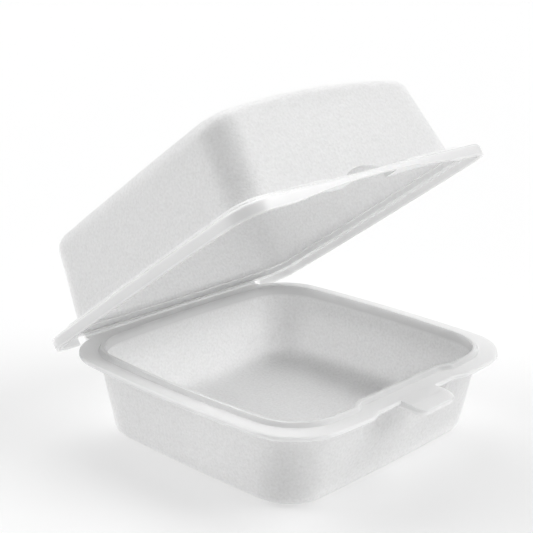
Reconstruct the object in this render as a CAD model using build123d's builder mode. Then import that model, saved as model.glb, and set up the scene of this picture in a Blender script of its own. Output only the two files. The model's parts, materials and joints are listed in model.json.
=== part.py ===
from build123d import *
import math
import os

os.makedirs("parts", exist_ok=True)

# Tray outline at the rim and at the foot, in millimetres
half_width = 75.0
half_depth = 75.0
rim_corner = 26.5
side_bow = 3.4
rim_height = 37.5
foot_inset_width = 12.7
foot_inset_depth = 15.7
foot_corner = 19.0
foot_bow = 1.2
foot_round = 5.0
# Sheet and pressed edges
sheet = 2.5
lip = 2.0
lip_round = 0.75
rim_round = 1.5
# Tray rim, floor and the panel pressed into it
wall_inset = 7.0
ridge_height = 1.8
ridge_slant = 0.9
floor_round = 9.0
panel_inset = 21.0
panel_height = 0.8
panel_round = 0.6
# Lid outline, walls and roof
lid_reach = 3.2
lid_corner = 13.5
lid_bow = 1.5
lid_depth = 46.0
roof_inset_width = 12.5
roof_inset_depth = 8.0
roof_corner = 15.0
lid_wall_corner = 13.0
roof_round = 7.0
crown = 4.0
shoulder_ledge = 2.4
shoulder_height = 4.8
shoulder_round = 1.2
skirt_drop = 3.4
skirt_arch = 2.9
arch_half = 52.0
# Room between the two halves when they are shut
seat_gap = 0.3
nest_gap = 0.6
# Latch
latch_half = 25.0
latch_run = 8.0
latch_depth = 4.0
latch_round = 5.0
flange_bay = 3.0
lid_bay_half = 19.0
tab_width = 23.0
tab_reach = 12.0
tab_thick = 3.2
tab_tip = 2.2
tab_fall = 1.6
tab_round = 4.0
slot_width = 28.0
slot_height = 7.0
strap_width = 3.2
# Hinge and the angle the lid stands open
hinge_inset = 20.0
hinge_notch = 4.0
hinge_reach = 0.5
hinge_thick = 1.6
bead_radius = 0.75
bead_gap = 0.15
hinge_gap = 0.35
open_angle = 35.2

hinge_half = half_width - hinge_inset
hinge_y = half_depth + hinge_reach
hinge_z = rim_height
lid_seat = rim_height + seat_gap
skirt_foot = lid_seat - skirt_drop
foot_half_width = half_width - foot_inset_width
foot_half_depth = half_depth - foot_inset_depth
wall_half_width = half_width - wall_inset
wall_half_depth = half_depth - wall_inset
lid_half_width = half_width + lid_reach
lid_half_depth = half_depth + lid_reach
roof_half_width = half_width - roof_inset_width
roof_half_depth = half_depth - roof_inset_depth
nest_inset = lid_reach + wall_inset - nest_gap
shoulder_inset = nest_inset - sheet
lid_wall_inset = shoulder_inset + shoulder_ledge


def bowed_outline(sketch, half_x, half_y, bow, corner):
    # Rounded rectangle whose sides bulge by the bow
    x = half_x - bow
    y = half_y - bow
    with BuildLine() as sides:
        ThreePointArc((-x, -y), (0, -half_y), (x, -y))
        ThreePointArc((x, -y), (half_x, 0), (x, y))
        ThreePointArc((x, y), (0, half_y), (-x, y))
        ThreePointArc((-x, y), (-half_x, 0), (-x, -y))
    make_face(sides.edges())
    fillet(sketch.vertices(), corner)


def tray_outline(sketch, height, inset):
    # Outer face of the tray's wall at a height, drawn in by the inset
    share = height / rim_height
    bowed_outline(
        sketch,
        foot_half_width + share * (wall_half_width - foot_half_width) - inset,
        foot_half_depth + share * (wall_half_depth - foot_half_depth) - inset,
        foot_bow + share * (side_bow - foot_bow),
        foot_corner + share * (rim_corner - wall_inset / 2 - foot_corner) - inset / 2,
    )


def lid_outline(sketch, inset):
    # Outer edge of the lid's rim, drawn in by the inset
    bowed_outline(
        sketch,
        lid_half_width - inset,
        lid_half_depth - inset,
        lid_bow,
        lid_corner - inset / 2,
    )


def lid_wall_outline(sketch, height, inset):
    # Outer face of the lid's wall at a height above the rim, drawn in by the inset
    share = height / lid_depth
    low_x = lid_half_width - lid_wall_inset
    low_y = lid_half_depth - lid_wall_inset
    bowed_outline(
        sketch,
        low_x + share * (roof_half_width - low_x) - inset,
        low_y + share * (roof_half_depth - low_y) - inset,
        lid_bow,
        lid_wall_corner + share * (roof_corner - lid_wall_corner) - inset / 2,
    )


def latch_bay(front, depth, half, mode=Mode.SUBTRACT):
    # Shallow bay with slanted ends, cut back from the front side
    out = half + latch_run
    with BuildLine() as bay:
        Polyline(
            (-half, front + depth),
            (half, front + depth),
            (out, front),
            (out + latch_run, front - depth),
            (-out - latch_run, front - depth),
            (-out, front),
            close=True,
        )
    make_face(bay.edges(), mode=mode)


def round_bay(sketch, half):
    # Rounds the corners that the bay leaves in an outline
    corners = sketch.vertices().filter_by(lambda v: v.Y < 0 and abs(v.X) < half + latch_run + nest_gap)
    fillet(corners, latch_round)


def crowned_side(top):
    # Front view of the space under a roof that is arched from side to side
    radius = (roof_half_width**2 + crown**2) / (2 * crown)
    edge = top - radius + math.sqrt(radius**2 - lid_half_width**2)
    with BuildLine() as arch:
        ThreePointArc((-lid_half_width, edge), (0, top), (lid_half_width, edge))
        Polyline(
            (lid_half_width, edge),
            (lid_half_width, 0),
            (-lid_half_width, 0),
            (-lid_half_width, edge),
        )
    make_face(arch.edges())


# Space inside the tray, with the latch bay's wall left standing
with BuildPart() as tray_space:
    top = rim_height + 2 * ridge_height
    with BuildSketch(Plane.XY.offset(sheet)) as floor:
        tray_outline(floor, sheet, sheet)
    with BuildSketch(Plane.XY.offset(top)) as mouth:
        tray_outline(mouth, top, sheet)
    loft(ruled=True)
    fillet(tray_space.edges().group_by(Axis.Z)[0], floor_round)
    with BuildSketch(Plane.XY.offset(sheet)):
        latch_bay(-wall_half_depth + sheet, latch_depth, latch_half + sheet / 2, Mode.ADD)
    extrude(amount=top, mode=Mode.SUBTRACT)

# Base tray
with BuildPart() as base_tray:
    with BuildSketch(Plane.XY.offset(rim_height - lip)) as flange:
        bowed_outline(flange, half_width, half_depth, side_bow, rim_corner)
        latch_bay(-half_depth, flange_bay, latch_half)
        round_bay(flange, latch_half)
    extrude(amount=lip)
    fillet(base_tray.edges().group_by(Axis.Z)[-1], lip_round)
    fillet(base_tray.edges().group_by(Axis.Z)[0], lip_round)
    # Drafted wall on a rounded foot
    with BuildSketch() as foot:
        tray_outline(foot, 0, 0)
    with BuildSketch(Plane.XY.offset(rim_height)) as wall_top:
        tray_outline(wall_top, rim_height, 0)
    loft(ruled=True)
    fillet(base_tray.edges().group_by(Axis.Z)[0], foot_round)
    # Wall drawn in behind the latch
    with BuildSketch(Plane.XY.offset(rim_height - lip)):
        latch_bay(-wall_half_depth, latch_depth, latch_half, Mode.ADD)
    extrude(amount=-rim_height + lip + foot_round, mode=Mode.SUBTRACT)
    # Ridge beside the mouth
    with BuildSketch(Plane.XY.offset(rim_height)) as ridge_foot:
        tray_outline(ridge_foot, rim_height, 0)
        latch_bay(-wall_half_depth, latch_depth, latch_half)
        round_bay(ridge_foot, latch_half)
    with BuildSketch(Plane.XY.offset(rim_height + ridge_height)) as ridge_top:
        tray_outline(ridge_top, rim_height, ridge_slant)
        latch_bay(-wall_half_depth + ridge_slant, latch_depth, latch_half)
        round_bay(ridge_top, latch_half)
    loft(ruled=True)
    # Latch tab, bent down towards its tip
    root = -half_depth + latch_depth
    with BuildSketch(Plane.YZ):
        with BuildLine():
            Polyline(
                (root, rim_height),
                (root - tab_reach / 2, rim_height - tab_fall / 4),
                (root - tab_reach, rim_height - tab_fall),
                (root - tab_reach, rim_height - tab_fall - tab_tip),
                (root, rim_height - tab_thick),
                close=True,
            )
        make_face()
    extrude(amount=tab_width / 2, both=True)
    fillet(base_tray.edges().filter_by(Axis.Z).group_by(Axis.Y)[0], tab_round)
    # Hinge tongue with its bead
    with BuildSketch(Plane.YZ):
        with BuildLine():
            Polyline(
                (wall_half_depth, hinge_z - bead_gap),
                (hinge_y - hinge_gap, hinge_z - bead_gap),
                (hinge_y - hinge_gap, hinge_z - hinge_thick),
                (wall_half_depth, hinge_z - hinge_thick),
                close=True,
            )
        make_face()
        with Locations((hinge_y, hinge_z)):
            Circle(bead_radius)
    extrude(amount=hinge_half, both=True)
    add(tray_space.part, mode=Mode.SUBTRACT)
    # Panel pressed up in the floor
    with BuildSketch(Plane.XY.offset(sheet)) as panel:
        tray_outline(panel, 0, panel_inset)
    extrude(amount=panel_height)
    fillet(base_tray.edges(Select.LAST).group_by(Axis.Z)[-1], panel_round)

# Space inside the lid, with room for the tray's ridge
with BuildPart() as lid_space:
    with BuildSketch(Plane.XY.offset(lid_seat - lip)) as lid_mouth:
        lid_wall_outline(lid_mouth, -lip, sheet)
    with BuildSketch(Plane.XY.offset(lid_seat + lid_depth)) as lid_ceiling:
        lid_wall_outline(lid_ceiling, lid_depth, sheet)
    loft(ruled=True)
    with BuildSketch(Plane.XZ):
        crowned_side(lid_seat + lid_depth - sheet)
    extrude(amount=2 * half_depth, both=True, mode=Mode.INTERSECT)
    fillet(lid_space.faces().sort_by(Axis.Z)[-1].edges(), roof_round - sheet / 2)
    with BuildSketch(Plane.XY.offset(lid_seat - lip)) as nest:
        lid_outline(nest, nest_inset)
        latch_bay(nest_inset - lid_half_depth, shoulder_ledge, lid_bay_half)
        round_bay(nest, lid_bay_half)
    extrude(amount=lip + ridge_height + nest_gap)

# Lid wall and roof before hollowing
with BuildPart() as lid_block:
    with BuildSketch(Plane.XY.offset(lid_seat)) as wall_foot:
        lid_wall_outline(wall_foot, 0, 0)
    with BuildSketch(Plane.XY.offset(lid_seat + lid_depth + crown)) as roof:
        lid_wall_outline(roof, lid_depth + crown, 0)
    loft(ruled=True)
    with BuildSketch(Plane.XZ):
        crowned_side(lid_seat + lid_depth)
    extrude(amount=2 * half_depth, both=True, mode=Mode.INTERSECT)
    fillet(lid_block.faces().sort_by(Axis.Z)[-1].edges(), roof_round)

# Lid as it sits on the tray when shut
with BuildPart() as shut_lid:
    with BuildSketch(Plane.XY.offset(skirt_foot)) as skirt:
        lid_outline(skirt, 0)
    extrude(amount=skirt_drop + lip)
    fillet(shut_lid.edges().group_by(Axis.Z)[-1], rim_round)
    with BuildSketch(Plane.XY.offset(skirt_foot)) as skirt_space:
        lid_outline(skirt_space, lip)
    extrude(amount=skirt_drop, mode=Mode.SUBTRACT)
    # Skirt arched up towards the middle of the front
    with BuildSketch(Plane.XZ.offset(half_depth / 2)):
        with BuildLine():
            ThreePointArc((-arch_half, skirt_foot), (0, skirt_foot + skirt_arch), (arch_half, skirt_foot))
            Line((arch_half, skirt_foot), (-arch_half, skirt_foot))
        make_face()
    extrude(amount=half_depth, mode=Mode.SUBTRACT)
    # Rim cut back along the hinge
    with BuildSketch(Plane.XY.offset(skirt_foot)):
        with Locations((0, hinge_y - hinge_gap)):
            Rectangle(
                2 * (hinge_half + hinge_notch),
                2 * lid_reach + hinge_gap,
                align=(Align.CENTER, Align.MIN),
            )
    extrude(amount=skirt_drop + 2 * lip, mode=Mode.SUBTRACT)
    # Shoulder that steps over the tray's ridge
    with BuildSketch(Plane.XY.offset(lid_seat)) as shoulder_foot:
        lid_outline(shoulder_foot, shoulder_inset)
        latch_bay(shoulder_inset - lid_half_depth, shoulder_ledge, lid_bay_half)
        round_bay(shoulder_foot, lid_bay_half)
    extrude(amount=shoulder_height)
    fillet(shut_lid.edges().group_by(Axis.Z)[-1], shoulder_round)
    add(lid_block.part)
    add(lid_space.part, mode=Mode.SUBTRACT)
    # Slot that the tab comes through, with the strap in front of it
    strap_back = lid_half_depth - strap_width
    spring = lid_seat + lip
    with BuildSketch(Plane.XZ.offset(strap_back)):
        with BuildLine():
            ThreePointArc((slot_width / 2, spring), (0, lid_seat + slot_height), (-slot_width / 2, spring))
            Polyline(
                (-slot_width / 2, spring),
                (-slot_width / 2, skirt_foot),
                (slot_width / 2, skirt_foot),
                (slot_width / 2, spring),
            )
        make_face()
    extrude(amount=-(strap_back - wall_half_depth + latch_depth + sheet), mode=Mode.SUBTRACT)
    # Hollow that turns round the bead
    with BuildSketch(Plane.YZ):
        with Locations((hinge_y, hinge_z)):
            Circle(bead_radius + bead_gap)
    extrude(amount=hinge_half + hinge_notch, both=True, mode=Mode.SUBTRACT)

# Lid swung open about the hinge
hinge_line = Axis((0, hinge_y, hinge_z), (1, 0, 0))
with BuildPart() as lid:
    add(shut_lid.part.rotate(hinge_line, -open_angle))

base_tray.part.label = "base_tray"
lid.part.label = "lid"
export_step(base_tray.part, "parts/base_tray.step")
export_step(lid.part, "parts/lid.step")
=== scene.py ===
# %% [markdown]
# This lesson dresses a hinged foam sandwich box that stands open. Its two moulded halves come from
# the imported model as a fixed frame. They could be modelled again here, but their shape is already
# true, so the lesson only gives them their finish. Every value is in metres, in the frame's own axes.

# %% Load the frame
import json
import math

import bpy
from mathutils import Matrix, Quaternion, Vector

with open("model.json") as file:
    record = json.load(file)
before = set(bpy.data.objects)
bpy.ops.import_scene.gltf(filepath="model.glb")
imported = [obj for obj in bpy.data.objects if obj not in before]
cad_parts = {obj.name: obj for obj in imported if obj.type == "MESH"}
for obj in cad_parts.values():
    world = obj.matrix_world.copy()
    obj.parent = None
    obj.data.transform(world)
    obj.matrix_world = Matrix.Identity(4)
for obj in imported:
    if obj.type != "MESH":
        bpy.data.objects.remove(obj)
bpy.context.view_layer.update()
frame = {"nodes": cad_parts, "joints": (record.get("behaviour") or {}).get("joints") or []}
tray = frame["nodes"]["base_tray"]
lid = frame["nodes"]["lid"]
hinge = Vector(frame["joints"][0]["pos_m"])
print("halves", tray.name, lid.name, "hinge at", tuple(hinge))

# %% [markdown]
# The box is seen from the front left and a little from above, by a long lens. The camera could be
# turned by hand until the view looks right. One that looks along a line to a target needs only its
# place, its target and its lens, and a small roll about that line levels the picture.

# %% Camera
EYE = Vector((-0.3773, -0.3472, 0.2371))
TARGET = Vector((-0.0138, 0.0008, 0.0782))
ROLL = math.radians(0.27)
LENS_MM = 83.34
SENSOR_MM = 36.0

camera_data = bpy.data.cameras.new("camera")
camera_data.sensor_width = SENSOR_MM
camera_data.lens = LENS_MM
camera = bpy.data.objects.new("camera", camera_data)
camera.location = EYE
aim = (TARGET - EYE).to_track_quat("-Z", "Y")
camera.rotation_euler = (aim @ Quaternion((0.0, 0.0, 1.0), ROLL)).to_euler()
bpy.context.scene.collection.objects.link(camera)
bpy.context.scene.camera = camera
print("camera distance", round((TARGET - EYE).length, 4))

# %% [markdown]
# A finish here is a tree of shader nodes. Each node could be made and linked line by line, but the
# tree is easier to read when one helper makes a node, sets its values and links its sources.

# %% Helpers for nodes
def add(tree, kind, inputs, **settings):
    made = tree.nodes.new(kind)
    for name, value in settings.items():
        setattr(made, name, value)
    for socket, value in inputs.items():
        if isinstance(value, bpy.types.NodeSocket):
            tree.links.new(value, made.inputs[socket])
        else:
            made.inputs[socket].default_value = value
    return made


def between(tree, mask, low, high):
    # The mask runs from 0 to 1, and the result from low to high
    return add(tree, "ShaderNodeMapRange", {"Value": mask, "To Min": low, "To Max": high}).outputs["Result"]


def grey(level):
    return (level, level, level, 1.0)


print("helpers", add.__name__, between.__name__, grey.__name__)

# %% [markdown]
# The sheet isn't alike all over: the rims are pressed flat and smooth, and the walls keep the foam's
# grain. A painted mask would need an unwrapped mesh. Both rims lie in a plane through the hinge line,
# so the distance from that plane tells rim from wall, and wall from the floor or roof at its far end.

# %% Masks for rim and far end
RIM_START = 0.0020
RIM_END = 0.0036
FOLD_START = 0.0102
FOLD_END = 0.0042


def fade(tree, value, start, end):
    limits = {"Value": value, "From Min": start, "From Max": end}
    return add(tree, "ShaderNodeMapRange", limits, interpolation_type="SMOOTHSTEP").outputs["Result"]


def sheet_masks(tree, place, rim_normal, reach):
    offset = add(tree, "ShaderNodeVectorMath", {0: place, 1: hinge}, operation="SUBTRACT")
    along = {0: offset.outputs["Vector"], 1: rim_normal}
    height = add(tree, "ShaderNodeVectorMath", along, operation="DOT_PRODUCT").outputs["Value"]
    distance = add(tree, "ShaderNodeMath", {0: height}, operation="ABSOLUTE").outputs["Value"]
    wall = fade(tree, distance, RIM_START, RIM_END)
    far_end = fade(tree, distance, reach - FOLD_START, reach - FOLD_END)
    return wall, far_end


print("rim ends", RIM_END, "from its plane")

# %% [markdown]
# Foam is white because its closed cells scatter light, and so thin a sheet also lets light through.
# A plain white paint would leave the inside too dark. Subsurface scatter carries light through the
# walls, and its depth is a real length, short in the pressed rims and longer in the walls and roof.

# %% Scatter
RIM_DEPTH = 0.006


def scatter(tree, wall, far_end, wall_depth, end_depth):
    depth = between(tree, wall, RIM_DEPTH, wall_depth)
    mixed = add(tree, "ShaderNodeMix", {"Factor": far_end, "A": depth, "B": end_depth})
    return mixed.outputs["Result"]


print("rim scatter depth", RIM_DEPTH)

# %% [markdown]
# The skin of the walls shows the foam's cells as a fine grain. Grain this small would take millions
# of faces, so it is bump: rounded cells with a finer noise over them, almost gone on the rims.

# %% Grain
CELL_SCALE = 420.0
CELL_SHARE = 0.6
GRAIN_SCALE = 1100.0
GRAIN_DETAIL = 2.0
GRAIN_HEIGHT = 0.0004
RIM_GRAIN = 0.06
WALL_GRAIN = 0.75


def grain(tree, place, wall):
    cell_values = {"Vector": place, "Scale": CELL_SCALE}
    cells = add(tree, "ShaderNodeTexVoronoi", cell_values, feature="SMOOTH_F1")
    noise_values = {"Vector": place, "Scale": GRAIN_SCALE, "Detail": GRAIN_DETAIL}
    noise = add(tree, "ShaderNodeTexNoise", noise_values)
    shares = {0: cells.outputs["Distance"], 1: CELL_SHARE, 2: noise.outputs["Fac"]}
    relief = add(tree, "ShaderNodeMath", shares, operation="MULTIPLY_ADD")
    strength = between(tree, wall, RIM_GRAIN, WALL_GRAIN)
    bumps = {"Distance": GRAIN_HEIGHT, "Strength": strength, "Height": relief.outputs["Value"]}
    return add(tree, "ShaderNodeBump", bumps).outputs["Normal"]


print("grain height", GRAIN_HEIGHT)

# %% [markdown]
# Close up, the white is faintly mottled where the cells lie thicker or thinner. One flat white looks
# like plastic, so a fine noise picks each spot's grey from a short ramp. The rims have one even, darker
# grey instead: painted shade that tones down the glare of the lamps on the pressed rims.

# %% Mottle and painted rim shade
MOTTLE_SCALE = 850.0
MOTTLE_DETAIL = 4.0
MOTTLE_STOPS = ((0.3, 0.87), (0.7, 0.99))
# The rims' even grey is painted shade, darker than the foam's white, to tone down the lamps' glare on them
RIM_PAINTED_SHADE_GREY = 0.84


def mottle_and_painted_rim_shade(tree, place, wall):
    noise_values = {"Vector": place, "Scale": MOTTLE_SCALE, "Detail": MOTTLE_DETAIL}
    noise = add(tree, "ShaderNodeTexNoise", noise_values)
    ramp = add(tree, "ShaderNodeValToRGB", {"Fac": noise.outputs["Fac"]})
    for stop, (position, level) in zip(ramp.color_ramp.elements, MOTTLE_STOPS):
        stop.position = position
        stop.color = grey(level)
    # On the rims the base colour is the painted shade grey, and on the walls it is the mottle
    shades = {"Factor": wall, "A": grey(RIM_PAINTED_SHADE_GREY), "B": ramp.outputs["Color"]}
    return add(tree, "ShaderNodeMix", shades, data_type="RGBA").outputs["Result"]


print("mottle greys", MOTTLE_STOPS)

# %% [markdown]
# The two halves are one sheet, but light meets them differently, so each has its own depths. The
# same tree is built twice: for the tray with a level rim, and for the lid with a rim that is tilted
# back by the angle at which it stands open. The pressed rims are also glossier than the walls.

# %% Foam on both halves
FOAM_GLOSS = 0.42
RIM_ROUGHNESS = 0.24
WALL_ROUGHNESS = 0.48
TRAY_WALL_DEPTH = 0.011
TRAY_FLOOR_DEPTH = 0.006
LID_WALL_DEPTH = 0.008
LID_ROOF_DEPTH = 0.022
LID_OPEN = math.radians(35.2)
LID_HEIGHT = 0.046


def foam(name, rim_normal, reach, wall_depth, end_depth):
    material = bpy.data.materials.new(name)
    material.use_nodes = True
    tree = material.node_tree
    shader = tree.nodes["Principled BSDF"]
    shader.inputs["Specular IOR Level"].default_value = FOAM_GLOSS
    shader.inputs["Subsurface Weight"].default_value = 1.0
    shader.inputs["Subsurface Radius"].default_value = (1.0, 1.0, 1.0)
    place = add(tree, "ShaderNodeTexCoord", {}).outputs["Object"]
    wall, far_end = sheet_masks(tree, place, rim_normal, reach)
    sources = {
        "Subsurface Scale": scatter(tree, wall, far_end, wall_depth, end_depth),
        "Normal": grain(tree, place, wall),
        "Roughness": between(tree, wall, RIM_ROUGHNESS, WALL_ROUGHNESS),
        "Base Color": mottle_and_painted_rim_shade(tree, place, wall),
    }
    for socket, source in sources.items():
        tree.links.new(source, shader.inputs[socket])
    return material


def dress(node, material):
    node.data.materials.clear()
    node.data.materials.append(material)


tray_up = Vector((0.0, 0.0, 1.0))
lid_up = Vector((0.0, math.sin(LID_OPEN), math.cos(LID_OPEN)))
dress(tray, foam("tray_foam", tray_up, hinge.z, TRAY_WALL_DEPTH, TRAY_FLOOR_DEPTH))
dress(lid, foam("lid_foam", lid_up, LID_HEIGHT, LID_WALL_DEPTH, LID_ROOF_DEPTH))
print("materials", [m.name for m in bpy.data.materials])

# %% [markdown]
# The box stands on a plain pale floor, wide enough to fill the picture from this camera. A floor lit
# by lamps alone would fall to grey, so it also glows a little and keeps only a soft shadow.

# %% Floor
FLOOR_SIZE = 8.0
FLOOR_DROP = 0.0001
FLOOR_GREY = 0.45
FLOOR_ROUGHNESS = 0.9
FLOOR_GLOW = 0.45

bpy.ops.mesh.primitive_plane_add(size=FLOOR_SIZE, location=(0.0, 0.0, -FLOOR_DROP))
floor = bpy.context.object
floor.name = "floor"
floor_paint = bpy.data.materials.new("floor_paint")
floor_paint.use_nodes = True
floor_shader = floor_paint.node_tree.nodes["Principled BSDF"]
floor_shader.inputs["Base Color"].default_value = grey(FLOOR_GREY)
floor_shader.inputs["Roughness"].default_value = FLOOR_ROUGHNESS
floor_shader.inputs["Emission Color"].default_value = grey(1.0)
floor_shader.inputs["Emission Strength"].default_value = FLOOR_GLOW
floor.data.materials.append(floor_paint)
print("floor", floor.name)

# %% [markdown]
# White foam on white shows only by its shading. Lamps near the lens would flatten it. Wide soft lamps
# stand far off instead, at the sides of the view and behind the box, with a weak one overhead. The
# walls catch their light, and the corners that face the lens turn grey.

# %% Lamps
LAMP_SPREAD = math.radians(40.0)


def lamp(name, turn, rise, strength):
    # A turn of 0 degrees is where the lens is, and a positive turn goes to its left
    bearing = math.atan2(EYE.y - TARGET.y, EYE.x - TARGET.x) - math.radians(turn)
    tilt = math.radians(rise)
    out = Vector((math.cos(bearing) * math.cos(tilt), math.sin(bearing) * math.cos(tilt), math.sin(tilt)))
    data = bpy.data.lights.new(name, "SUN")
    data.energy = strength
    data.angle = LAMP_SPREAD
    light = bpy.data.objects.new(name, data)
    light.rotation_euler = out.to_track_quat("Z", "Y").to_euler()
    bpy.context.scene.collection.objects.link(light)


lamp("right_low", -75, 20, 0.55)
lamp("right_high", -92, 43, 1.76)
lamp("left", 106, 31, 1.84)
lamp("back_left", 165, 50, 1.12)
lamp("above", 0, 88, 0.15)
lamp("back_right", -160, 35, 0.30)

# %% [markdown]
# The room itself adds a trace of light from all sides, so that no fold goes black. The standard view
# keeps white foam white, where a film-like one would turn it grey.

# %% Room and view
ROOM_GLOW = 0.04

world = bpy.data.worlds.new("studio")
bpy.context.scene.world = world
world.use_nodes = True
room = world.node_tree.nodes["Background"]
room.inputs["Color"].default_value = grey(1.0)
room.inputs["Strength"].default_value = ROOM_GLOW
bpy.context.scene.view_settings.view_transform = "Standard"
print("room light", ROOM_GLOW)
